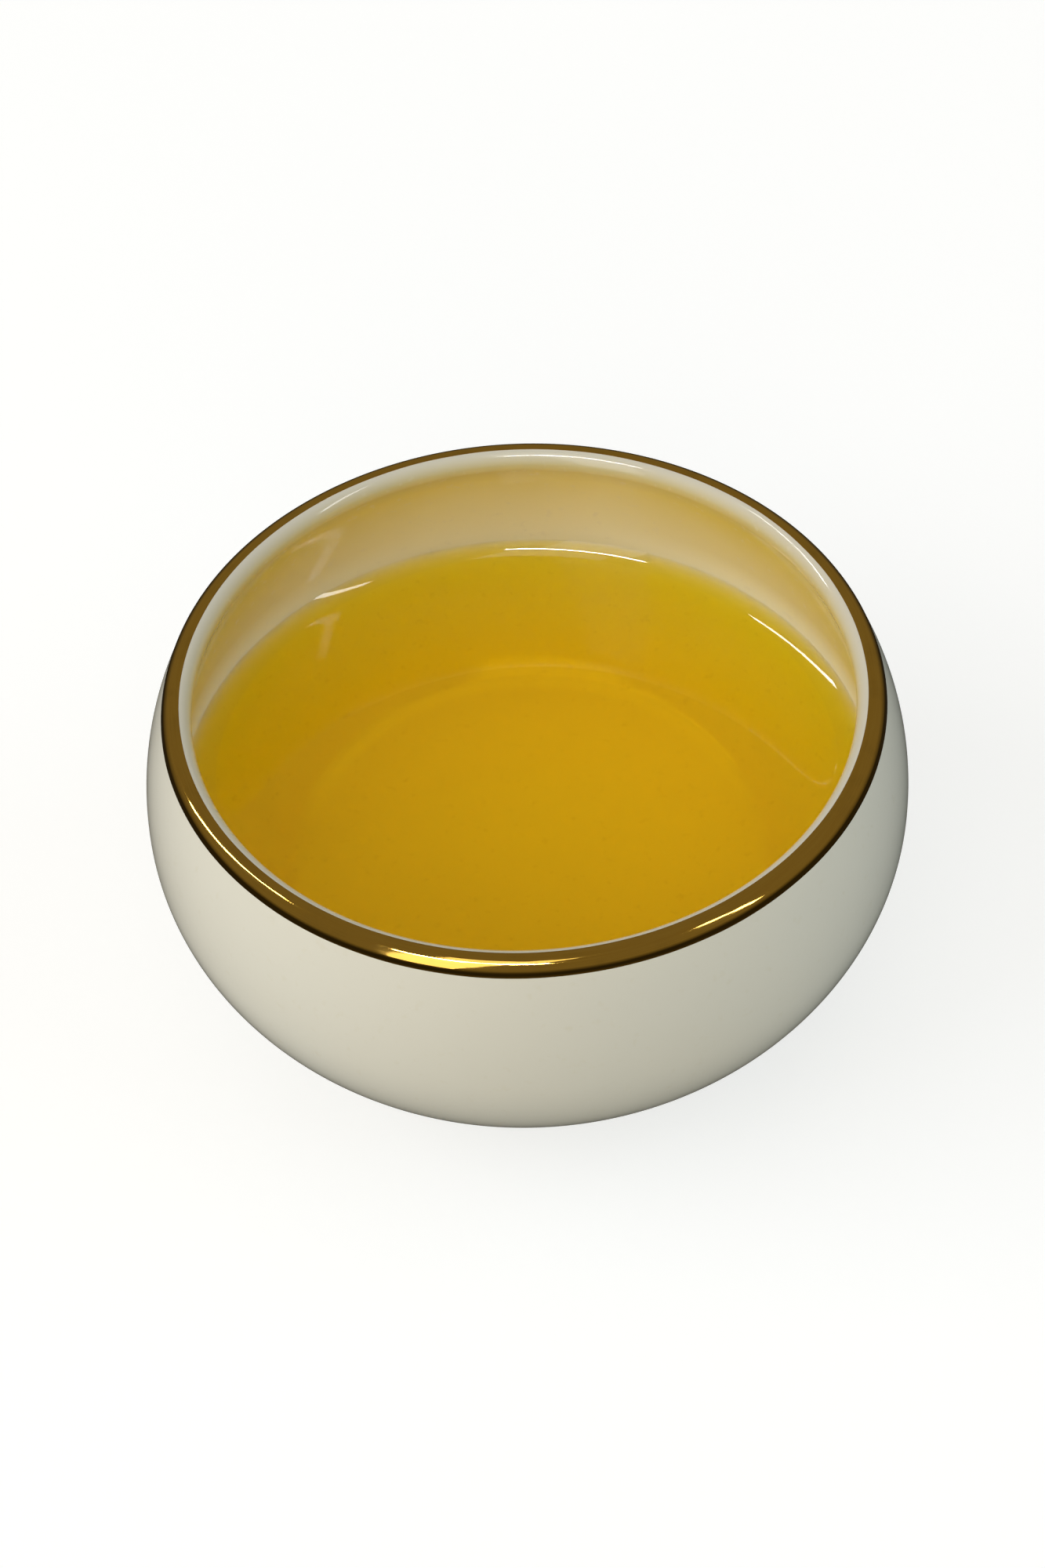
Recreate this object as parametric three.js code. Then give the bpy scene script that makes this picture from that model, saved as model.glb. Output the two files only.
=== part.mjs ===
// A porcelain tea tasting cup with a gilded lip, filled with tea. Millimetres, +Z up.
// The origin is the centre of the plane that the foot ring rests on.
//
// The cup is round, so every piece is one profile turned about Z. Its glazed surface is one
// outline of curves in (radius, height): the recess under the cup, the foot, the wall, the lip,
// the inner wall and the floor. The porcelain, its coats and the gilding are layers of that outline.
import * as THREE from "three";

// Driving dimensions
const BELLY_RADIUS = 33; // the widest place, over the glaze
const HEIGHT = 33; // resting plane to the gilded crest of the lip
const SHOULDER_RISE = 30; // half height of the ellipse that the wall follows above the belly
const BOWL_DROP = 23.1; // half height of the ellipse that it follows below the belly
const LIP_LEAN = THREE.MathUtils.degToRad(25); // how far the wall leans in where the lip begins
const LIP_WALL = 2.5; // thickness from glaze to glaze at the lip
const BASE_WALL = 3.2; // the same where the wall meets the foot
const FLOOR_Z = 6.2; // the flat floor inside
const FLOOR_RADIUS = 18.6; // where the floor starts to turn up into the wall
const FLOOR_BEND_END = 0.86; // where that turn meets the inner wall, as a share of the way to the foot
const FOOT_RADIUS = 19; // outer side of the foot ring
const FOOT_WIDTH = 2.4;
const FOOT_JOIN_RADIUS = 20.3; // where the wall turns down into the foot ring
const FOOT_CHAMFER = 0.45; // between the bare pad and the glaze, on both edges of the foot
const RECESS_Z = 2.6; // ceiling of the recess inside the foot ring
const RECESS_CORNER = 1.2;
const GLAZE = 0.3;
const GILDING = 0.08;
const GILDING_SKIRT = 0.4; // how far the gilding runs down the outer wall below the lip's round
const GILDING_INNER_TILT = THREE.MathUtils.degToRad(14); // where it ends inside, from the crest
const MENISCUS_RISE = 1.7; // the tea climbs the wall to the belly plane from this far below it
const MENISCUS_LENGTH = 1.5; // distance from the wall in which the climb falls to 1/e
const MENISCUS_REACH = 6; // distance from the wall beyond which the tea is level
const MENISCUS_STEPS = 5;
const SEGMENTS = 48; // around the cup, a multiple of four
const ON_AXIS = 1e-9; // a smaller radius than this is rounding error, on the axis

// Derived dimensions
const LIP_ROUND = LIP_WALL / 2;
const LIP_START = Math.atan((SHOULDER_RISE / BELLY_RADIUS) * Math.tan(LIP_LEAN));
const FOOT_JOIN = -Math.acos(FOOT_JOIN_RADIUS / BELLY_RADIUS);
const BELLY_Z =
  HEIGHT - GILDING - SHOULDER_RISE * Math.sin(LIP_START) - LIP_ROUND * (1 - Math.sin(LIP_LEAN));
const TEA_LEVEL = BELLY_Z - MENISCUS_RISE;

// A point on the wall. turn is the ellipse's angle, 0 at the belly and positive above it, and depth
// is how far the point lies inside the outer surface.
function wallPoint(turn, depth) {
  const halfHeight = turn > 0 ? SHOULDER_RISE : BOWL_DROP;
  const normal = new THREE.Vector2(halfHeight * Math.cos(turn), BELLY_RADIUS * Math.sin(turn));
  const surface = new THREE.Vector2(
    BELLY_RADIUS * Math.cos(turn),
    BELLY_Z + halfHeight * Math.sin(turn),
  );
  return surface.addScaledVector(normal.normalize(), -depth);
}

// The wall thickens steadily from the lip to the foot.
function wallThickness(turn) {
  return THREE.MathUtils.mapLinear(turn, LIP_START, FOOT_JOIN, LIP_WALL, BASE_WALL);
}

// The stretch of the outer or the inner wall between two turns.
class WallCurve extends THREE.Curve {
  constructor(from, to, inside) {
    super();
    Object.assign(this, { from, to, inside });
  }

  getPoint(u, target = new THREE.Vector2()) {
    const turn = THREE.MathUtils.lerp(this.from, this.to, u);
    return target.copy(wallPoint(turn, this.inside ? wallThickness(turn) : 0));
  }
}

function line(fromR, fromZ, toR, toZ) {
  return new THREE.LineCurve(new THREE.Vector2(fromR, fromZ), new THREE.Vector2(toR, toZ));
}

// A rounded corner that leaves `from` for `corner` and arrives at `to`.
function bend(from, corner, to) {
  return new THREE.QuadraticBezierCurve(
    new THREE.Vector2(...from),
    new THREE.Vector2(...corner),
    new THREE.Vector2(...to),
  );
}

// The lip is half a circle between the two walls. Angles are from the radius outwards.
function lipArc(fromAngle, toAngle) {
  const centre = wallPoint(LIP_START, LIP_ROUND);
  return new THREE.EllipseCurve(centre.x, centre.y, LIP_ROUND, LIP_ROUND, fromAngle, toAngle);
}

// The underside, from the axis out and down to the glaze line inside the foot.
function recessRun() {
  const side = FOOT_RADIUS - FOOT_WIDTH;
  return [
    { curve: line(0, RECESS_Z, side - RECESS_CORNER, RECESS_Z), steps: 1 },
    {
      curve: bend([side - RECESS_CORNER, RECESS_Z], [side, RECESS_Z], [side, RECESS_Z - RECESS_CORNER]),
      steps: 3,
    },
    { curve: line(side, RECESS_Z - RECESS_CORNER, side, FOOT_CHAMFER), steps: 1 },
  ];
}

// The outside below the gilding, from the glaze line on the foot up the wall.
function outsideRun() {
  const join = wallPoint(FOOT_JOIN, 0);
  const along = new WallCurve(FOOT_JOIN, 0, false).getTangent(0);
  const cornerZ = join.y - (along.y / along.x) * (join.x - FOOT_RADIUS);
  const sideTop = (cornerZ + FOOT_CHAMFER) / 2;
  return [
    { curve: line(FOOT_RADIUS, FOOT_CHAMFER, FOOT_RADIUS, sideTop), steps: 1 },
    { curve: bend([FOOT_RADIUS, sideTop], [FOOT_RADIUS, cornerZ], join.toArray()), steps: 2 },
    { curve: new WallCurve(FOOT_JOIN, 0, false), steps: 6 },
    { curve: new WallCurve(0, gildingStart(), false), steps: 3 },
  ];
}

// The turn on the outer wall where the gilding begins.
function gildingStart() {
  const lengthPerTurn = Math.hypot(
    BELLY_RADIUS * Math.sin(LIP_START),
    SHOULDER_RISE * Math.cos(LIP_START),
  );
  return LIP_START - GILDING_SKIRT / lengthPerTurn;
}

function gildedOutsideRun() {
  return [
    { curve: new WallCurve(gildingStart(), LIP_START, false), steps: 1 },
    { curve: lipArc(LIP_LEAN, Math.PI / 2), steps: 4 },
  ];
}

function gildedInsideRun() {
  return [{ curve: lipArc(Math.PI / 2, Math.PI / 2 + GILDING_INNER_TILT), steps: 1 }];
}

// The inner wall between the gilding and the edge of the tea, which lies in the belly plane.
function dryInsideRun() {
  return [
    { curve: lipArc(Math.PI / 2 + GILDING_INNER_TILT, Math.PI + LIP_LEAN), steps: 4 },
    { curve: new WallCurve(LIP_START, 0, true), steps: 3 },
  ];
}

// The inner wall under the tea, the turn at its foot and the floor to the axis.
function wetInsideRun() {
  const wall = new WallCurve(0, FOOT_JOIN * FLOOR_BEND_END, true);
  const end = wall.getPoint(1);
  const along = wall.getTangent(1);
  const cornerRadius = end.x + (along.x / along.y) * (FLOOR_Z - end.y);
  return [
    { curve: wall, steps: 6 },
    { curve: bend(end.toArray(), [cornerRadius, FLOOR_Z], [FLOOR_RADIUS, FLOOR_Z]), steps: 3 },
    { curve: line(FLOOR_RADIUS, FLOOR_Z, 0, FLOOR_Z), steps: 1 },
  ];
}

// The points of a run of curves, moved `out` millimetres off the glazed surface. Runs go round the
// profile with the porcelain on their left.
function layer(run, out) {
  const points = [];
  run.forEach(({ curve, steps }, order) => {
    for (let step = order ? 1 : 0; step <= steps; step++) {
      const along = curve.getTangent(step / steps);
      const side = new THREE.Vector2(along.y, -along.x);
      points.push(curve.getPoint(step / steps).addScaledVector(side, out));
    }
  });
  return points;
}

// A closed profile between two layers of the same run.
function coat(run, inner, outer) {
  const points = [...layer(run, outer), ...layer(run, inner).reverse()];
  return points.some(isOnAxis) ? endOnAxis(points) : [...points, points[0].clone()];
}

function isOnAxis(point) {
  return point.x < ON_AXIS;
}

// Turns a closed profile round so that it starts and ends at its two points on the axis.
function endOnAxis(points) {
  const next = (i) => points[(i + 1) % points.length];
  const last = points.findIndex((point, i) => isOnAxis(point) && isOnAxis(next(i)));
  return [...points.slice(last + 1), ...points.slice(0, last + 1)];
}

function turned(name, profile, material) {
  profile.filter(isOnAxis).forEach((point) => point.setX(0));
  const geometry = new THREE.LatheGeometry(profile, SEGMENTS).rotateX(Math.PI / 2);
  const mesh = new THREE.Mesh(geometry, material);
  mesh.name = name;
  return mesh;
}

// Materials
const porcelain = new THREE.MeshStandardMaterial({ color: 0xe9e4d8, roughness: 0.65, metalness: 0 });
const glaze = new THREE.MeshStandardMaterial({ color: 0xe8e4d6, roughness: 0.12, metalness: 0 });
const gold = new THREE.MeshStandardMaterial({ color: 0xb98a2c, roughness: 0.15, metalness: 1 });
const liquor = new THREE.MeshStandardMaterial({
  color: 0xd7a300,
  roughness: 0.05,
  metalness: 0,
  transparent: true,
  opacity: 0.85,
});

// The fired body with its turned foot ring. The pad and its chamfers are wiped clean of glaze.
function makeBody() {
  const recess = layer(recessRun(), -GLAZE);
  const pad = [
    new THREE.Vector2(FOOT_RADIUS - FOOT_WIDTH + FOOT_CHAMFER, 0),
    new THREE.Vector2(FOOT_RADIUS - FOOT_CHAMFER, 0),
  ];
  const outside = layer([...outsideRun(), ...gildedOutsideRun()], -GLAZE);
  const inside = layer([...gildedInsideRun(), ...dryInsideRun(), ...wetInsideRun()], -GLAZE);
  return turned("porcelain_body", [...recess, ...pad, ...outside, ...inside.slice(1)], porcelain);
}

function makeOuterGlaze() {
  const run = [...outsideRun(), ...gildedOutsideRun()];
  return turned("outer_glaze", coat(run, -GLAZE, 0), glaze);
}

function makeInnerGlaze() {
  const run = [...gildedInsideRun(), ...dryInsideRun(), ...wetInsideRun()];
  return turned("inner_glaze", coat(run, -GLAZE, 0), glaze);
}

function makeRecessGlaze() {
  return turned("recess_glaze", coat(recessRun(), -GLAZE, 0), glaze);
}

function makeGilding() {
  const run = [...gildedOutsideRun(), ...gildedInsideRun()];
  return turned("rim_gilding", coat(run, 0, GILDING), gold);
}

// The tea fills the bowl up to the belly plane at the wall, and its surface dips to its level within
// a few millimetres of it. The steps down the meniscus are shortest at the wall, where it is steep.
function makeTea() {
  const wetted = layer(wetInsideRun(), 0).reverse();
  const contact = wetted[wetted.length - 1];
  const surface = [];
  for (let step = 1; step <= MENISCUS_STEPS; step++) {
    const fromWall = MENISCUS_REACH * (step / MENISCUS_STEPS) ** 2;
    const climb = MENISCUS_RISE * Math.exp(-fromWall / MENISCUS_LENGTH);
    surface.push(new THREE.Vector2(contact.x - fromWall, TEA_LEVEL + climb));
  }
  return turned("tea", [...wetted, ...surface, new THREE.Vector2(0, TEA_LEVEL)], liquor);
}

const cup = new THREE.Group();
cup.add(
  makeBody(),
  makeOuterGlaze(),
  makeInnerGlaze(),
  makeRecessGlaze(),
  makeGilding(),
  makeTea(),
);

export default cup;
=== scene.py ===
"""The looks of a gilded porcelain tea cup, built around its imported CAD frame. Metres, +Z up.

The cup is round, so every piece is one closed profile turned about Z. The glazed surface is one
outline in (radius, height): recess, foot, wall, lip, inner wall and floor. The fired body, its
coats of glaze and the gilding are layers of that outline, and the tea lies on it.
"""

import bpy
import numpy as np
from mathutils import Matrix, Vector


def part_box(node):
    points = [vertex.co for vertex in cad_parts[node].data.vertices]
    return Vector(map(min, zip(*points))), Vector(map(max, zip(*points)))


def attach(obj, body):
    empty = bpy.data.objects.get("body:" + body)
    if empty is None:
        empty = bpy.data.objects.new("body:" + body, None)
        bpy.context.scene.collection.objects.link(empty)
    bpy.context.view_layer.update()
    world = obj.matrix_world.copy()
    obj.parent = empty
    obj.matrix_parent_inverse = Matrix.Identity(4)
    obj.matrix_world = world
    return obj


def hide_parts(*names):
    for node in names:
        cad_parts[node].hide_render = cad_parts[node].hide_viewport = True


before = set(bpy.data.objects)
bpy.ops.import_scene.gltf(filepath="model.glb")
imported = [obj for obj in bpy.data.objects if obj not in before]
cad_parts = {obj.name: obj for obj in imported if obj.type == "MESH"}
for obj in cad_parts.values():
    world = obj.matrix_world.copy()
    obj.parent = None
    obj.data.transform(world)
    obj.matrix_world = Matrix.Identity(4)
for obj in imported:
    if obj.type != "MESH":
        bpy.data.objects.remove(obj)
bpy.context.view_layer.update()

MM = 0.001

# Sizes that the frame gives
BELLY_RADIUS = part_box("outer_glaze")[1].x
GLAZE_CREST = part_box("outer_glaze")[1].z
GLAZE_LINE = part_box("outer_glaze")[0].z  # the wiped edge of the glaze on the foot
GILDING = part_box("rim_gilding")[1].z - GLAZE_CREST
FLOOR_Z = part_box("tea")[0].z
BELLY_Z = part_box("tea")[1].z  # the tea's edge lies in the belly plane
GLAZE = FLOOR_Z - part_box("inner_glaze")[0].z
RECESS_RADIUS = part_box("recess_glaze")[1].x - GLAZE
RECESS_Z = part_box("recess_glaze")[1].z - GLAZE

# Shape of the outline between them, as in the CAD
SHOULDER_RISE = 30 * MM  # half height of the wall's ellipse above the belly
BOWL_DROP = 23.1 * MM  # and below it
LIP_LEAN = np.radians(25)
LIP_WALL = 2.5 * MM
BASE_WALL = 3.2 * MM
FLOOR_RADIUS = 18.6 * MM
FLOOR_BEND_END = 0.86  # where the floor's bend meets the wall, as a share of the way to the foot
FOOT_RADIUS = 19 * MM
FOOT_JOIN_RADIUS = 20.3 * MM
RECESS_CORNER = 1.2 * MM
MENISCUS_RISE = 1.7 * MM
MENISCUS_LENGTH = 1.5 * MM
GILDING_SKIRT = 0.4 * MM  # how far the gilding runs down the outer wall
GILDING_INNER_TILT = np.radians(14)  # where it ends inside, from the crest

LIP_ROUND = LIP_WALL / 2
# The ellipses' angles where the lip starts and where the foot joins
LIP_START = np.arctan(SHOULDER_RISE / BELLY_RADIUS * np.tan(LIP_LEAN))
FOOT_JOIN = -np.arccos(FOOT_JOIN_RADIUS / BELLY_RADIUS)
TEA_LEVEL = BELLY_Z - MENISCUS_RISE

# Fineness of the meshes
SEGMENTS = 288
STEP = 0.4 * MM  # between the points of an outline
LIP_STEP = 0.1 * MM  # and on the lip
BEND_POINTS = 13
GILDING_STEPS = 48  # across the gilding, closer together near its edges
GILDING_BACK_STEP = 4  # how many of them each step on its hidden side takes
TEA_RINGS = 72  # round the tea's surface, closer together near the wall
TEA_CROWDING = 2.3  # the power that crowds them there
CREASE = np.radians(50)  # edges that turn by more than this are drawn sharp

# Shapes that the CAD leaves out
OUT_OF_ROUND = 0.0012  # share of its radius that the lip lacks on average, from none to twice this
LIP_DIP = 0.06 * MM  # how much lower the lip is on average, from none to twice this
BEAD = 0.35 * MM  # length over which a coat of glaze rounds off to its edge
GILDING_TAPER = 0.7 * MM  # length over which the gilding thins to its edge
GILDING_EDGE = 0.1  # its thickness at the edge, as a share of the full one
SINK = 0.03 * MM  # how far the gilding and the tea reach into the glaze that they lie on
EDGE_WAVER = 0.06 * MM  # how unevenly the brush left the gilding's edges
FRONT_DIP = 0.12 * MM  # how much further down inside the gilding reaches on the -Y side
MENISCUS_REACH = 12 * MM  # width of the tea's rings, past which it is level


# ---------------------------------------------------------------- outlines

def wall_point(turn, depth):
    """A point on the wall at the ellipse's angle turn, 0 at the belly, depth inside its surface."""
    turn = np.asarray(turn, float)
    half_height = np.where(turn > 0, SHOULDER_RISE, BOWL_DROP)
    normal = np.stack([half_height * np.cos(turn), BELLY_RADIUS * np.sin(turn)], -1)
    normal /= np.linalg.norm(normal, axis=-1, keepdims=True)
    surface = np.stack([BELLY_RADIUS * np.cos(turn), BELLY_Z + half_height * np.sin(turn)], -1)
    return surface - normal * np.asarray(depth)[..., None]


def wall(start, end, inside=False):
    """The stretch of the outer or inner wall between two turns. It thickens towards the foot."""
    steps = max(4, int(abs(end - start) * BELLY_RADIUS / STEP))
    turn = np.linspace(start, end, steps + 1)
    thickness = np.interp(-turn, [-LIP_START, -FOOT_JOIN], [LIP_WALL, BASE_WALL])
    return wall_point(turn, thickness * inside)


def lip_arc(start, end):
    """The lip is half a circle between the two walls, with its angles from the radius outwards."""
    centre = wall_point(LIP_START, LIP_ROUND)
    angle = np.linspace(start, end, max(3, int(abs(end - start) * LIP_ROUND / LIP_STEP)))
    return centre + LIP_ROUND * np.stack([np.cos(angle), np.sin(angle)], -1)


def line(start, end):
    """A straight stretch of outline."""
    steps = max(1, int(np.hypot(*np.subtract(end, start)) / STEP))
    return np.linspace(start, end, steps + 1)


def bend(start, corner, end):
    """A rounded corner that leaves start for corner and arrives at end."""
    u = np.linspace(0, 1, BEND_POINTS)[:, None]
    return (1 - u) ** 2 * np.array(start) + 2 * u * (1 - u) * np.array(corner) + u**2 * np.array(end)


def joined(*stretches):
    """One outline from stretches. The first point of each but the first one is left out, as the
    place where the last one ended."""
    return np.concatenate([stretches[0]] + [stretch[1:] for stretch in stretches[1:]])


def recess_outline():
    """The glazed underside, from the axis to the glaze line inside the foot."""
    corner = (RECESS_RADIUS, RECESS_Z)
    flat_end = (RECESS_RADIUS - RECESS_CORNER, RECESS_Z)
    side_start = (RECESS_RADIUS, RECESS_Z - RECESS_CORNER)
    return joined(
        line((0, RECESS_Z), flat_end),
        bend(flat_end, corner, side_start),
        line(side_start, (RECESS_RADIUS, GLAZE_LINE)),
    )


def outside_outline():
    """The outside, from the glaze line on the foot up the wall to the crest of the lip."""
    bowl = wall(FOOT_JOIN, 0)
    across, up = bowl[1] - bowl[0]
    corner = (FOOT_RADIUS, bowl[0][1] - up / across * (bowl[0][0] - FOOT_RADIUS))
    side_top = (FOOT_RADIUS, (corner[1] + GLAZE_LINE) / 2)
    return joined(
        line((FOOT_RADIUS, GLAZE_LINE), side_top),
        bend(side_top, corner, bowl[0]),
        bowl,
        wall(0, LIP_START),
        lip_arc(LIP_LEAN, np.pi / 2),
    )


def wetted_outline():
    """The inner wall under the tea, the bend at its foot and the floor to the axis."""
    side = wall(0, FOOT_JOIN * FLOOR_BEND_END, inside=True)
    across, up = side[-1] - side[-2]
    corner = (side[-1][0] + across / up * (FLOOR_Z - side[-1][1]), FLOOR_Z)
    floor_edge = (FLOOR_RADIUS, FLOOR_Z)
    return joined(side, bend(side[-1], corner, floor_edge), line(floor_edge, (0, FLOOR_Z)))


def inside_outline():
    """The inside, from the crest of the lip to the middle of the floor."""
    lip = lip_arc(np.pi / 2, np.pi + LIP_LEAN)
    return joined(lip, wall(LIP_START, 0, inside=True), wetted_outline())


def arc_length(outline):
    """How far along the outline each of its points lies."""
    return np.append(0, np.cumsum(np.linalg.norm(np.diff(outline, axis=0), axis=1)))


def layer(outline, out):
    """The outline moved out along its normals. It has the porcelain on its left."""
    along = np.gradient(outline, axis=0)
    along /= np.linalg.norm(along, axis=1, keepdims=True)
    moved = outline + np.stack([along[:, 1], -along[:, 0]], -1) * np.reshape(out, (-1, 1))
    moved[outline[:, 0] == 0, 0] = 0
    return moved


def thinned(outline):
    """Every third point, and the last one, which is enough for a surface that a coat hides."""
    keep = np.unique(np.append(np.arange(0, len(outline), 3), len(outline) - 1))
    return outline[keep]


def rounded_end(distance, length):
    """0 at an edge, rising as a quarter circle to 1 at this length from it."""
    return np.sqrt(1 - (1 - np.clip(distance / length, 0, 1)) ** 2)


# ---------------------------------------------------------------- meshes

def waver(angle, seed, slowest, fastest):
    """A smooth closed wave round the cup within -1 to 1, of waves of these counts per turn."""
    random = np.random.default_rng(seed)
    counts = np.arange(slowest, fastest + 1)
    sizes = random.uniform(0.3, 1, len(counts)) / counts
    phases = random.uniform(0, 2 * np.pi, len(counts))
    waves = sizes[:, None] * np.cos(np.multiply.outer(counts, angle) + phases[:, None])
    return waves.sum(0) / sizes.sum()


def throwing_marks(radius, height, angle):
    """What the potter's and the kiln's work leaves: a bowl slightly out of round, its lip uneven."""
    share = np.clip(height / GLAZE_CREST, 0, 1)
    squeeze = 1 + waver(angle, seed=3, slowest=2, fastest=5)
    radius = radius * (1 - OUT_OF_ROUND * share * squeeze)
    dip = 1 + waver(angle, seed=4, slowest=2, fastest=7)
    height = height - LIP_DIP * share**3 * dip
    return radius, height


def turned(name, profile, material, node):
    """A closed profile of (radius, height) rows, or one profile for each angle, turned about Z."""
    angle = np.linspace(0, 2 * np.pi, SEGMENTS, endpoint=False)
    if profile.ndim == 2:
        profile = np.repeat(profile[:, None], SEGMENTS, 1)
    radius, height = throwing_marks(profile[..., 0], profile[..., 1], angle)
    points = np.stack([radius * np.cos(angle), radius * np.sin(angle), height], -1)
    on_axis = profile[:, 0, 0] == 0
    vertices, rings = [], []
    for ring, pole in zip(points, on_axis):
        first = len(vertices)
        vertices.extend([ring.mean(0)] if pole else ring)
        rings.append([first] * SEGMENTS if pole else list(range(first, first + SEGMENTS)))
    if not on_axis.any():
        rings.append(rings[0])
    faces = []
    for low, high in zip(rings, rings[1:]):
        for here in range(SEGMENTS):
            after = (here + 1) % SEGMENTS
            corners = dict.fromkeys((low[here], low[after], high[after], high[here]))
            faces.append(tuple(corners))
    mesh = bpy.data.meshes.new(name)
    mesh.from_pydata(vertices, [], faces)
    mesh.validate()
    mesh.shade_smooth()
    mesh.set_sharp_from_angle(angle=CREASE)
    mesh.materials.append(material)
    piece = bpy.data.objects.new(name, mesh)
    bpy.context.scene.collection.objects.link(piece)
    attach(piece, "root")
    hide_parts(node)


def coat(outline, thickness):
    """A coat's closed profile: its skin, and the body's side of it, GLAZE below the outline. If it
    reaches the axis, it starts and ends there."""
    skin = layer(outline, thickness - GLAZE)
    back = thinned(layer(outline, -GLAZE)[::-1])
    profile = np.concatenate([skin, back])
    on_axis = np.flatnonzero(profile[:, 0] == 0)
    if len(on_axis) and on_axis[0] > 0:
        profile = np.roll(profile, -on_axis[-1], axis=0)
    return profile


# ---------------------------------------------------------------- materials

def fill(tree, target, inputs):
    """Sets inputs of a node, each to a value or linked to a socket."""
    for key, value in inputs.items():
        if isinstance(value, bpy.types.NodeSocket):
            tree.links.new(value, target.inputs[key])
        else:
            target.inputs[key].default_value = value


def node(tree, kind, inputs=None, **settings):
    """A new shader node with its settings, and with its inputs set or linked."""
    new = tree.nodes.new("ShaderNode" + kind)
    for key, value in settings.items():
        setattr(new, key, value)
    fill(tree, new, inputs or {})
    return new


def new_material(name):
    """An empty node material: the material, its tree, its shader and the object coordinates."""
    material = bpy.data.materials.new(name)
    material.use_nodes = True
    tree = material.node_tree
    tree.nodes.clear()
    shader = node(tree, "BsdfPrincipled")
    node(tree, "OutputMaterial", {"Surface": shader.outputs["BSDF"]})
    place = node(tree, "TexCoord").outputs["Object"]
    return material, tree, shader, place


def parts_of(tree, place):
    """The X, Y and Z of a place."""
    return node(tree, "SeparateXYZ", {"Vector": place}).outputs


def from_axis(tree, parts):
    """The distance from the cup's axis of a place in its parts."""
    flat = node(tree, "CombineXYZ", {"X": parts["X"], "Y": parts["Y"]}).outputs["Vector"]
    return node(tree, "VectorMath", {0: flat}, operation="LENGTH").outputs["Value"]


def noise(tree, place, size, detail=3.0):
    """Noise from 0 to 1 whose features are about this size in metres."""
    return node(tree, "TexNoise", {"Vector": place, "Scale": 1 / size, "Detail": detail}).outputs["Fac"]


def between(tree, value, low, high, to_low=0.0, to_high=1.0):
    """value from low..high brought to to_low..to_high, held at the ends."""
    inputs = {"Value": value, "From Min": low, "From Max": high, "To Min": to_low, "To Max": to_high}
    return node(tree, "MapRange", inputs).outputs["Result"]


def maths(tree, operation, a, b=0.0):
    """The result of an operation on two values, each a number or a socket."""
    return node(tree, "Math", {0: a, 1: b}, operation=operation).outputs["Value"]


MIX_A, MIX_B, MIX_RESULT = 6, 7, 2  # the sockets of a Mix node that carry colours


def blended(tree, share, a, b):
    """Colour a where share is 0 and b where it is 1. Each is a colour or a socket."""
    a, b = ((*colour, 1) if isinstance(colour, tuple) else colour for colour in (a, b))
    mix = node(tree, "Mix", {"Factor": share, MIX_A: a, MIX_B: b}, data_type="RGBA")
    return mix.outputs[MIX_RESULT]


def bumped(tree, *heights):
    """A normal from the sum of heights, each a 0 to 1 socket with its height in metres."""
    total = 0.0
    for value, height in heights:
        total = maths(tree, "ADD", maths(tree, "MULTIPLY", value, height), total)
    return node(tree, "Bump", {"Height": total, "Distance": 1.0}).outputs["Normal"]


def specks(tree, place, spacing, radius, share):
    """1 in round specks of this radius, in this share of cells of this spacing, and 0 elsewhere."""
    cells = node(tree, "TexVoronoi", {"Vector": place, "Scale": 1 / spacing})
    near = between(tree, cells.outputs["Distance"], radius / spacing, 0.4 * radius / spacing)
    chosen = node(tree, "SeparateColor", {"Color": cells.outputs["Color"]}).outputs["Red"]
    return maths(tree, "MULTIPLY", near, maths(tree, "LESS_THAN", chosen, share))


GLASS_IOR = 1.5
WATER_IOR = 1.333

CLEAN = (0.86, 0.825, 0.70)
CLEAN_LOW = (0.82, 0.815, 0.72)
# Inside: a tea stain with painted light in it. Its yellow stands in for light from the tea. The upper
# colour is darker, painted shade under the lip's overhang. The lower one is lighter, painted light
# where the wall above the tea faces up.
STAIN_AND_PAINTED_SHADE = (0.79, 0.655, 0.15)
STAIN_AND_PAINTED_LIGHT = (0.98, 0.94, 0.66)
# Painted shade: the inner wall above the tea is painted darker and deeper yellow towards +X and -X.
PAINTED_SIDE_SHADE = (0.56, 0.39, 0.0)
# Painted shade: the darker colour just under the lip's overhang.
PAINTED_SHADE_UNDER_LIP = (0.62, 0.555, 0.36)
# Painted light: the paler tone of the lip's up-facing round, a lit strip.
PAINTED_LIT_STRIP = (0.77, 0.72, 0.60)
FRECKLE = (0.80, 0.75, 0.58)
IRON = (0.22, 0.2, 0.15)
UNDER_LIP_SHADE_START = 3.4 * MM  # below the crest, where the painted shade under the lip starts
LIT_STRIP_START = 1.1 * MM  # where the painted lit strip on the lip's round starts
LIT_STRIP_END = 0.1 * MM  # and where it is strongest


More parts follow.
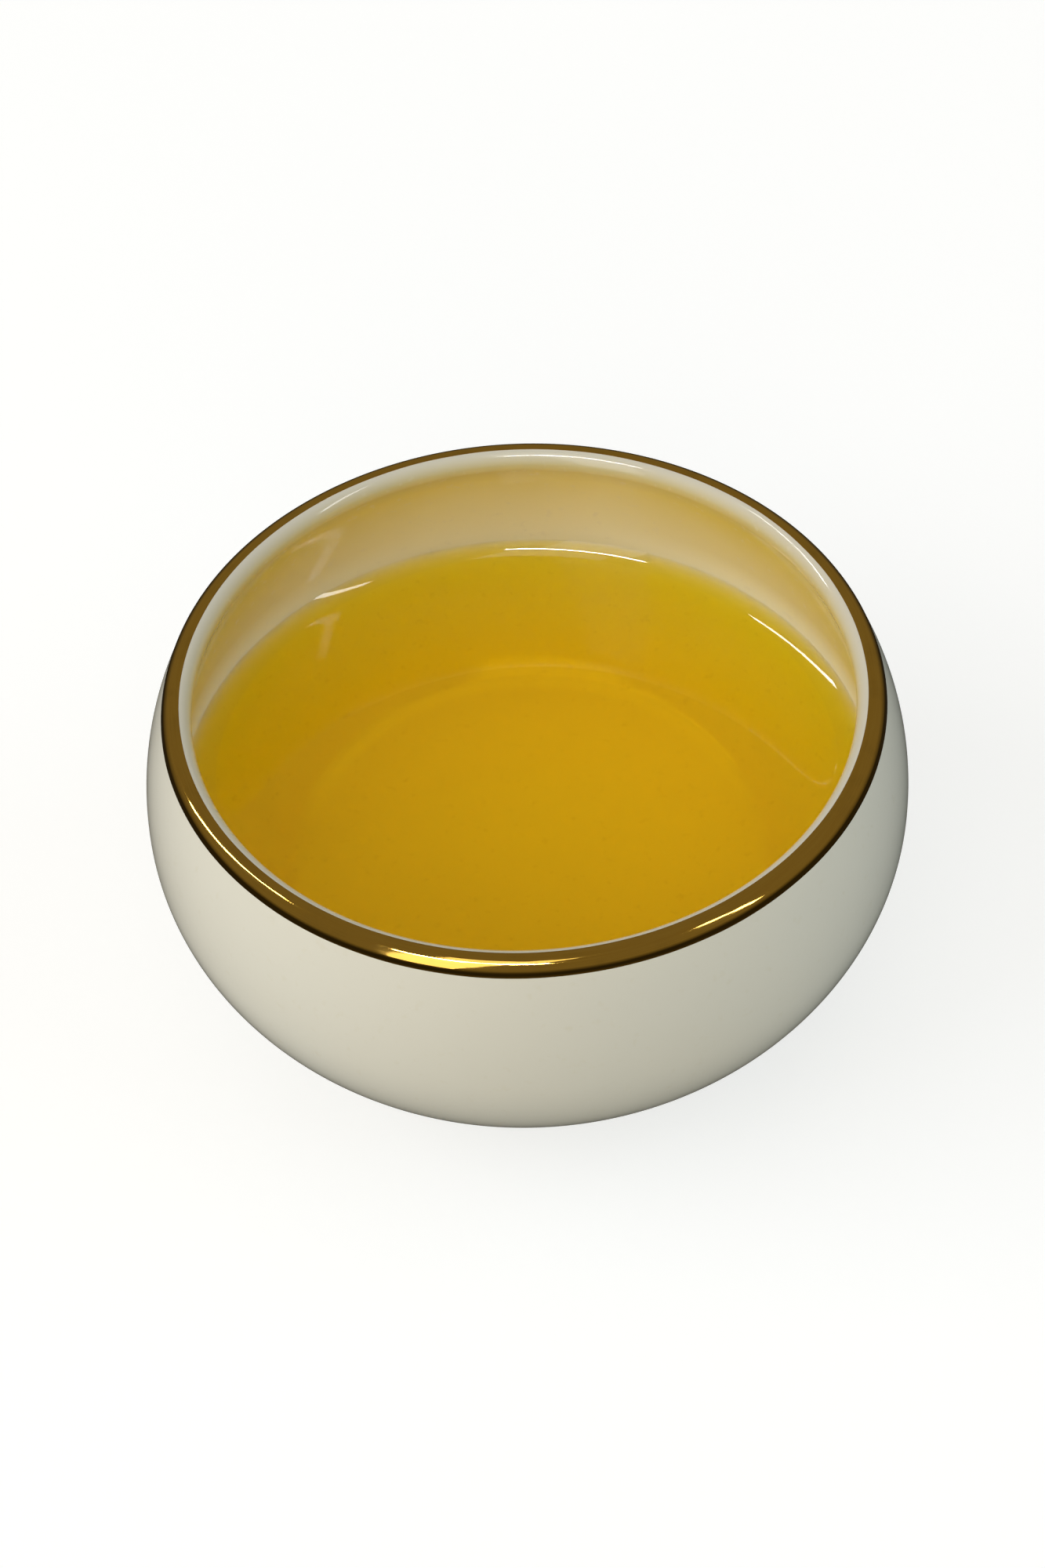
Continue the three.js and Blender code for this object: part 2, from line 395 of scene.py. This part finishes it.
def glaze_colour(tree, place, upper, lower, top, bottom, sides, under_lip):
    """From upper at the height top to lower at the height bottom. Above the tea it leans to a painted
    side shade towards +X and -X, and near the lip to a painted shade under its overhang. The lip's
    up-facing round turns to a paler painted lit strip."""
    where = parts_of(tree, place)
    height = where["Z"]
    mottle = between(tree, noise(tree, place, 14 * MM), 0.3, 0.7, to_high=0.25)
    colour = blended(tree, mottle, upper, lower)
    colour = blended(tree, between(tree, height, top, bottom), colour, lower)
    # Painted shade on the side walls, towards +X and -X above the tea.
    side_shade_share = between(tree, maths(tree, "ABSOLUTE", where["X"]), 8 * MM, 30 * MM, to_high=0.55)
    above_tea = between(tree, height, BELLY_Z, BELLY_Z + 3 * MM)
    colour = blended(tree, maths(tree, "MULTIPLY", side_shade_share, above_tea), colour, sides)
    # Painted shade under the lip's overhang, strongest just below the lip's round.
    under_lip_shade = between(tree, height, GLAZE_CREST - UNDER_LIP_SHADE_START, GLAZE_CREST - LIT_STRIP_START, to_high=0.6)
    colour = blended(tree, under_lip_shade, colour, under_lip)
    # Painted light: the lip's up-facing round turns to a paler lit strip.
    lit_strip = between(tree, height, GLAZE_CREST - LIT_STRIP_START, GLAZE_CREST - LIT_STRIP_END)
    return blended(tree, lit_strip, colour, PAINTED_LIT_STRIP)


def make_glaze(name, **colours):
    """Glossy glaze in the colours that glaze_colour takes, with freckles and a few iron specks."""
    material, tree, shader, place = new_material(name)
    colour = glaze_colour(tree, place, **colours)
    freckles = between(tree, noise(tree, place, 0.9 * MM, detail=2.0), 0.62, 0.8, to_high=0.35)
    colour = blended(tree, freckles, colour, FRECKLE)
    iron = specks(tree, place, spacing=9 * MM, radius=0.16 * MM, share=0.12)
    colour = blended(tree, maths(tree, "MULTIPLY", iron, 0.6), colour, IRON)
    smears = noise(tree, place, 6 * MM, detail=5.0)
    roughness = between(tree, smears, 0.35, 0.75, to_low=0.05, to_high=0.13)
    normal = bumped(
        tree,
        (noise(tree, place, 12 * MM, detail=1.0), 0.03 * MM),
        (noise(tree, place, 1.4 * MM, detail=1.0), 0.0015 * MM),
        (iron, 0.004 * MM),
    )
    looks = {"Base Color": colour, "Roughness": roughness, "IOR": GLASS_IOR, "Normal": normal}
    fill(tree, shader, looks)
    return material


BISCUIT = (0.76, 0.72, 0.64)
BISCUIT_STAIN = (0.60, 0.54, 0.45)
BISCUIT_GRAIN = (0.82, 0.79, 0.73)


def make_biscuit():
    """The bare fired body, seen on the wiped foot: matt, fine-grained, with the wheel's rings."""
    material, tree, shader, place = new_material("bare_porcelain")
    radius = from_axis(tree, parts_of(tree, place))
    ring_place = node(tree, "CombineXYZ", {"X": radius}).outputs["Vector"]
    rings = noise(tree, ring_place, 0.12 * MM, detail=2.0)
    grain = noise(tree, place, 0.15 * MM, detail=4.0)
    stain = between(tree, noise(tree, place, 4 * MM, detail=4.0), 0.4, 0.7)
    colour = blended(tree, stain, BISCUIT, BISCUIT_STAIN)
    colour = blended(tree, between(tree, grain, 0.55, 0.75, to_high=0.5), colour, BISCUIT_GRAIN)
    roughness = between(tree, grain, 0.3, 0.7, to_low=0.65, to_high=0.9)
    normal = bumped(tree, (grain, 0.02 * MM), (rings, 0.015 * MM))
    fill(tree, shader, {"Base Color": colour, "Roughness": roughness, "Normal": normal})
    return material


GOLD = (0.84, 0.50, 0.09)
WORN_GOLD = (0.72, 0.43, 0.08)
GOLD_STROKE = (0.90, 0.57, 0.12)
STROKE_STRETCH = 40.0  # how many times longer the brush strokes are than they are wide


def make_gold():
    """Burnished gold with the faint circling strokes of the brush, worn duller in places."""
    material, tree, shader, place = new_material("burnished_gold")
    where = parts_of(tree, place)
    across = maths(tree, "SUBTRACT", from_axis(tree, where), where["Z"])
    across = maths(tree, "MULTIPLY", across, STROKE_STRETCH)
    stroke_parts = {"X": where["X"], "Y": where["Y"], "Z": across}
    stroke_place = node(tree, "CombineXYZ", stroke_parts).outputs["Vector"]
    strokes = noise(tree, stroke_place, 5 * MM, detail=2.0)
    wear = between(tree, noise(tree, place, 3 * MM, detail=4.0), 0.5, 0.75)
    colour = blended(tree, wear, GOLD, WORN_GOLD)
    colour = blended(tree, between(tree, strokes, 0.4, 0.7, to_high=0.5), colour, GOLD_STROKE)
    polish = between(tree, strokes, 0.35, 0.7, to_low=0.03, to_high=0.09)
    roughness = maths(tree, "ADD", polish, maths(tree, "MULTIPLY", wear, 0.05))
    normal = bumped(tree, (noise(tree, place, 2.5 * MM, detail=2.0), 0.01 * MM), (strokes, 0.002 * MM))
    looks = {"Base Color": colour, "Metallic": 1.0, "Roughness": roughness, "Normal": normal}
    fill(tree, shader, looks)
    return material


TEA_DYE = (0.9993, 0.98, 0.05, 1)  # the colour that it lets through
TEA_STRENGTH = 737.0  # absorption per metre of a colour that it doesn't let through at all


def make_tea_liquor():
    """Clear yellow tea: it takes nearly all blue light in a few millimetres, and a little green."""
    material, tree, shader, place = new_material("yellow_tea")
    ripples = bumped(tree, (noise(tree, place, 9 * MM, detail=1.0), 0.004 * MM))
    looks = {
        "Base Color": (1, 1, 1, 1),
        "Transmission Weight": 1.0,
        "IOR": WATER_IOR,
        "Roughness": 0.0,
        "Normal": ripples,
        "Coat Weight": 1.0,
        "Coat Roughness": 0.02,
        "Coat IOR": WATER_IOR,
        "Coat Normal": ripples,
    }
    fill(tree, shader, looks)
    dye = node(tree, "VolumeAbsorption", {"Color": TEA_DYE, "Density": TEA_STRENGTH})
    fill(tree, tree.nodes["Material Output"], {"Volume": dye.outputs["Volume"]})
    return material


# ---------------------------------------------------------------- pieces

def make_body(material):
    """The fired body, one casting with its foot ring. The pad and its chamfers are bare. Joining
    leaves out the first points of the pad and of the outside, so the chamfers are larger here than
    in the CAD and the pad is 0.5 mm narrower."""
    pad = line((RECESS_RADIUS + GLAZE_LINE, 0), (FOOT_RADIUS - GLAZE_LINE, 0))
    profile = joined(
        thinned(layer(recess_outline(), -GLAZE)),
        pad,
        thinned(layer(outside_outline(), -GLAZE)),
        thinned(layer(inside_outline(), -GLAZE)),
    )
    turned("fired_body", profile, material, "porcelain_body")


def make_outer_glaze(material):
    """The glaze outside. Its edge on the foot is rounded, where it was wiped."""
    outline = outside_outline()
    thickness = GLAZE * rounded_end(arc_length(outline), BEAD)
    turned("glaze_outside", coat(outline, thickness), material, "outer_glaze")


def make_inner_glaze(material):
    """The glaze inside. It meets the outer glaze at the crest, under the gilding."""
    outline = inside_outline()
    thickness = np.full(len(outline), GLAZE)
    turned("glaze_inside", coat(outline, thickness), material, "inner_glaze")


def make_recess_glaze(material):
    """The glaze inside the foot ring, with a rounded edge where it was wiped."""
    outline = recess_outline()
    length = arc_length(outline)
    thickness = GLAZE * rounded_end(length[-1] - length, BEAD)
    turned("glaze_in_recess", coat(outline, thickness), material, "recess_glaze")


def make_gilding(material):
    """The gold band over the lip, with edges that waver as a brush leaves them."""
    up_the_wall = np.array([-np.sin(LIP_LEAN), np.cos(LIP_LEAN)])
    skirt = wall_point(LIP_START, 0) - 1.5 * GILDING_SKIRT * up_the_wall
    # The outline runs on past both edges of the gilding, for them to waver in
    outline = joined(
        line(skirt, wall_point(LIP_START, 0)),
        lip_arc(LIP_LEAN, np.pi / 2 + 2 * GILDING_INNER_TILT),
    )
    length = arc_length(outline)
    angle = np.linspace(0, 2 * np.pi, SEGMENTS, endpoint=False)
    start = 0.5 * GILDING_SKIRT + EDGE_WAVER * waver(angle, seed=11, slowest=5, fastest=40)
    end = length[-1] - LIP_ROUND * GILDING_INNER_TILT
    end = end + EDGE_WAVER * waver(angle, seed=12, slowest=5, fastest=40)
    end -= FRONT_DIP * np.sin(angle)
    share = (1 - np.cos(np.linspace(0, np.pi, GILDING_STEPS + 1))) / 2
    at = start + (end - start) * share[:, None]
    base = np.stack([np.interp(at, length, outline[:, part]) for part in (0, 1)], -1)
    # The gold's thickness goes away from the middle of the lip
    centre = wall_point(LIP_START, LIP_ROUND)
    on_round = np.clip(base - centre, -LIP_ROUND, LIP_ROUND)
    out = on_round / np.linalg.norm(on_round, axis=-1, keepdims=True)
    inward = np.clip(np.minimum(at - start, end - at) / GILDING_TAPER, 0, 1)
    thickness = GILDING * (GILDING_EDGE + (1 - GILDING_EDGE) * inward**2 * (3 - 2 * inward))
    skin = base + out * thickness[..., None]
    back = (base - out * SINK)[::-GILDING_BACK_STEP]
    profile = np.concatenate([skin, back])
    turned("gilded_rim", profile, material, "rim_gilding")


def make_tea(material):
    """The tea, with its surface drawn up the wall round its edge."""
    wetted = layer(wetted_outline(), -SINK)[::-1]
    edge = wetted[-1]
    from_wall = np.linspace(0.02, 1, TEA_RINGS) ** TEA_CROWDING * MENISCUS_REACH
    from_wall = np.append(from_wall, edge[0])
    meniscus = MENISCUS_RISE * np.exp(-from_wall / MENISCUS_LENGTH)
    surface = np.stack([edge[0] - from_wall, TEA_LEVEL + meniscus], -1)
    turned("tea_liquor", np.concatenate([wetted, surface]), material, "tea")


clean_glaze = make_glaze(
    "clear_glaze",
    upper=CLEAN,
    lower=CLEAN_LOW,
    top=BELLY_Z,
    bottom=RECESS_Z,
    sides=CLEAN,
    under_lip=CLEAN,
)
# The inside: a tea stain with painted light in it. It has painted yellow light from the tea, painted
# shade under the lip and at the sides, and a painted lit strip on the lip.
stain_and_painted_light_glaze = make_glaze(
    "tea_stain_and_painted_light_glaze",
    upper=STAIN_AND_PAINTED_SHADE,
    lower=STAIN_AND_PAINTED_LIGHT,
    top=GLAZE_CREST - 1.2 * MM,
    bottom=BELLY_Z + 1.0 * MM,
    sides=PAINTED_SIDE_SHADE,
    under_lip=PAINTED_SHADE_UNDER_LIP,
)
make_body(make_biscuit())
make_outer_glaze(clean_glaze)
make_inner_glaze(stain_and_painted_light_glaze)
make_recess_glaze(clean_glaze)
make_gilding(make_gold())
make_tea(make_tea_liquor())


# ---------------------------------------------------------------- stage, light and camera

WHITE = (1, 1, 1)
STAGE_RADIUS = 6
FLOOR_GREYS = (0.54, 0.54, 0.53), (0.57, 0.57, 0.56)
FLOOR_GLOW = 0.60


def make_floor():
    """A plain pale floor. It glows for the camera only, and the gloss of the cup doesn't show it."""
    material, tree, shader, place = new_material("pale_floor")
    seen = node(tree, "LightPath").outputs["Is Camera Ray"]
    looks = {
        "Base Color": blended(tree, noise(tree, place, 0.2, detail=3.0), *FLOOR_GREYS),
        "Roughness": 0.9,
        "Specular IOR Level": 0.2,
        "Emission Color": (1, 1, 1, 1),
        "Emission Strength": maths(tree, "MULTIPLY", seen, FLOOR_GLOW),
    }
    fill(tree, shader, looks)
    bpy.ops.mesh.primitive_circle_add(vertices=96, radius=STAGE_RADIUS, fill_type="NGON")
    floor = bpy.context.object
    floor.name = "pale_floor"
    floor.data.materials.append(material)
    floor.visible_glossy = False


def direction(azimuth, elevation):
    """A unit vector. Azimuth 0 is +X and 90 is +Y, away from the camera."""
    azimuth, elevation = np.radians([azimuth, elevation])
    level = np.cos(elevation)
    return Vector((level * np.cos(azimuth), level * np.sin(azimuth), np.sin(elevation)))


LAMP_DISTANCE = 2.0


def make_lamp(name, start, end, thickness, radiance, colour):
    """An area lamp whose long middle line runs from start to end, both (azimuth, elevation) as the
    cup sees them, and which is this many degrees thick."""
    first, last = (direction(*place) * LAMP_DISTANCE for place in (start, end))
    middle, along = (first + last) / 2, last - first
    data = bpy.data.lights.new(name, "AREA")
    data.shape = "RECTANGLE"
    data.size = along.length
    data.size_y = 2 * middle.length * np.tan(np.radians(thickness) / 2)
    data.energy = radiance * np.pi * data.size * data.size_y
    data.color = colour
    lamp = bpy.data.objects.new(name, data)
    bpy.context.scene.collection.objects.link(lamp)
    x, z = along.normalized(), middle.normalized()
    turn = Matrix((x, z.cross(x), z)).transposed().to_4x4()
    lamp.matrix_world = Matrix.Translation(middle + Vector((0, 0, GLAZE_CREST))) @ turn
    lamp.visible_camera = False
    return lamp


def make_softbox(name, azimuth, lowest, highest, width, radiance, colour):
    """A large lamp that lights the cup softly and doesn't show in its gloss."""
    lamp = make_lamp(name, (azimuth, lowest), (azimuth, highest), width, radiance, colour)
    lamp.visible_glossy = False
    return lamp


def make_tea_light(name, azimuth, lowest, highest, width, radiance, colour):
    """A softbox whose light reaches surfaces only through the tea, which is too dark without it."""
    lamp = make_softbox(name, azimuth, lowest, highest, width, radiance, colour)
    lamp.visible_diffuse = False


def make_panel(name, start, end, thickness, radiance):
    """A white studio panel or tube that shows in the gloss and lights neither matt surfaces nor the
    inside of the tea."""
    lamp = make_lamp(name, start, end, thickness, radiance, WHITE)
    lamp.visible_diffuse = False
    lamp.data.use_nodes = True
    tree = lamp.data.node_tree
    refractions = node(tree, "LightPath").outputs["Transmission Depth"]
    fill(tree, tree.nodes["Emission"], {"Strength": maths(tree, "LESS_THAN", refractions, 0.5)})


BACKGROUND = (0.9, 0.9, 0.9)
SOFT_BELOW = (0.20, 0.175, 0.13)
SOFT_ABOVE = (0.30, 0.28, 0.235)
STUDIO_BELOW = (0.02, 0.017, 0.012)
STUDIO_ABOVE = (0.17, 0.15, 0.10)


def make_surround():
    """A pale background, a soft light from all round, and a plain dim studio that the gloss shows,
    dark below and grey above."""
    world = bpy.data.worlds.new("studio")
    bpy.context.scene.world = world
    world.use_nodes = True
    tree = world.node_tree
    tree.nodes.clear()
    up = parts_of(tree, node(tree, "TexCoord").outputs["Generated"])["Z"]
    soft = blended(tree, between(tree, up, -0.3, 0.5), SOFT_BELOW, SOFT_ABOVE)
    studio = blended(tree, between(tree, up, -0.3, 0.3), STUDIO_BELOW, STUDIO_ABOVE)
    path = node(tree, "LightPath").outputs
    colour = blended(tree, path["Is Glossy Ray"], soft, studio)
    colour = blended(tree, path["Is Camera Ray"], colour, BACKGROUND)
    background = node(tree, "Background", {"Color": colour, "Strength": 1.0})
    node(tree, "OutputWorld", {"Surface": background.outputs["Background"]})


CAMERA_DISTANCE = 0.25
CAMERA_ELEVATION = np.radians(48.53)
CAMERA_ROLL = np.radians(-2.72)
# The point looked at, just to the left of the axis and under the rim
CAMERA_AIM = Vector((-0.42 * MM, 0, GLAZE_CREST + GILDING - 13.08 * MM))
CAMERA_LENS = 65.71


def make_camera():
    """The camera stands on the -Y side and looks down into the cup, slightly rolled."""
    data = bpy.data.cameras.new("camera")
    data.lens = CAMERA_LENS
    data.sensor_width = 36
    data.clip_start = 0.01
    camera = bpy.data.objects.new("camera", data)
    bpy.context.scene.collection.objects.link(camera)
    back = Vector((0, -np.cos(CAMERA_ELEVATION), np.sin(CAMERA_ELEVATION)))
    facing = back.to_track_quat("Z", "Y").to_matrix().to_4x4()
    roll = Matrix.Rotation(CAMERA_ROLL, 4, "Z")
    camera.matrix_world = Matrix.Translation(CAMERA_AIM + back * CAMERA_DISTANCE) @ facing @ roll
    bpy.context.scene.camera = camera


# The light isn't one physical set-up. The softboxes light the cup and don't show in its gloss, the
# panels show only there, and the tea lights reach surfaces only through the tea.
# Name, azimuth, lowest and highest elevation, width (all in degrees), radiance, colour
SOFTBOXES = (
    ("soft_front", -102, 0, 50, 50, 0.98, (1.0, 0.96, 0.86)),
    ("soft_left", -170, 0, 50, 50, 1.9, (0.97, 1.0, 1.06)),
    ("soft_right", -5, 0, 50, 50, 0.87, (0.65, 0.92, 1.2)),
    ("soft_back", 90, 10, 50, 50, 0.27, WHITE),
    ("soft_top", -90, 60, 120, 60, 0.3, WHITE),
)
TEA_LIGHTS = (
    ("soft_tea_above", -90, 65, 125, 70, 0.85, (1.0, 0.95, 0.8)),
    ("soft_tea_front", -105, 15, 64, 60, 1.3, (1.0, 0.95, 0.8)),
)
# Name, start and end as (azimuth, elevation) and thickness (all in degrees), radiance
PANELS = (
    ("front_panel", (-120, 0), (-120, 65), 20, 1.6),
    ("ceiling_panel", (-150, 75), (-75, 75), 15, 1.3),
    ("ceiling_tube", (-145, 60), (-85, 65), 2, 60),
    ("left_strip", (155, 30), (155, 60), 3, 20),
    ("right_strip", (-25, 30), (-25, 60), 3, 10),
)

make_floor()
make_surround()
for softbox in SOFTBOXES:
    make_softbox(*softbox)
for tea_light in TEA_LIGHTS:
    make_tea_light(*tea_light)
for panel in PANELS:
    make_panel(*panel)
make_camera()
bpy.context.scene.view_settings.view_transform = "Standard"
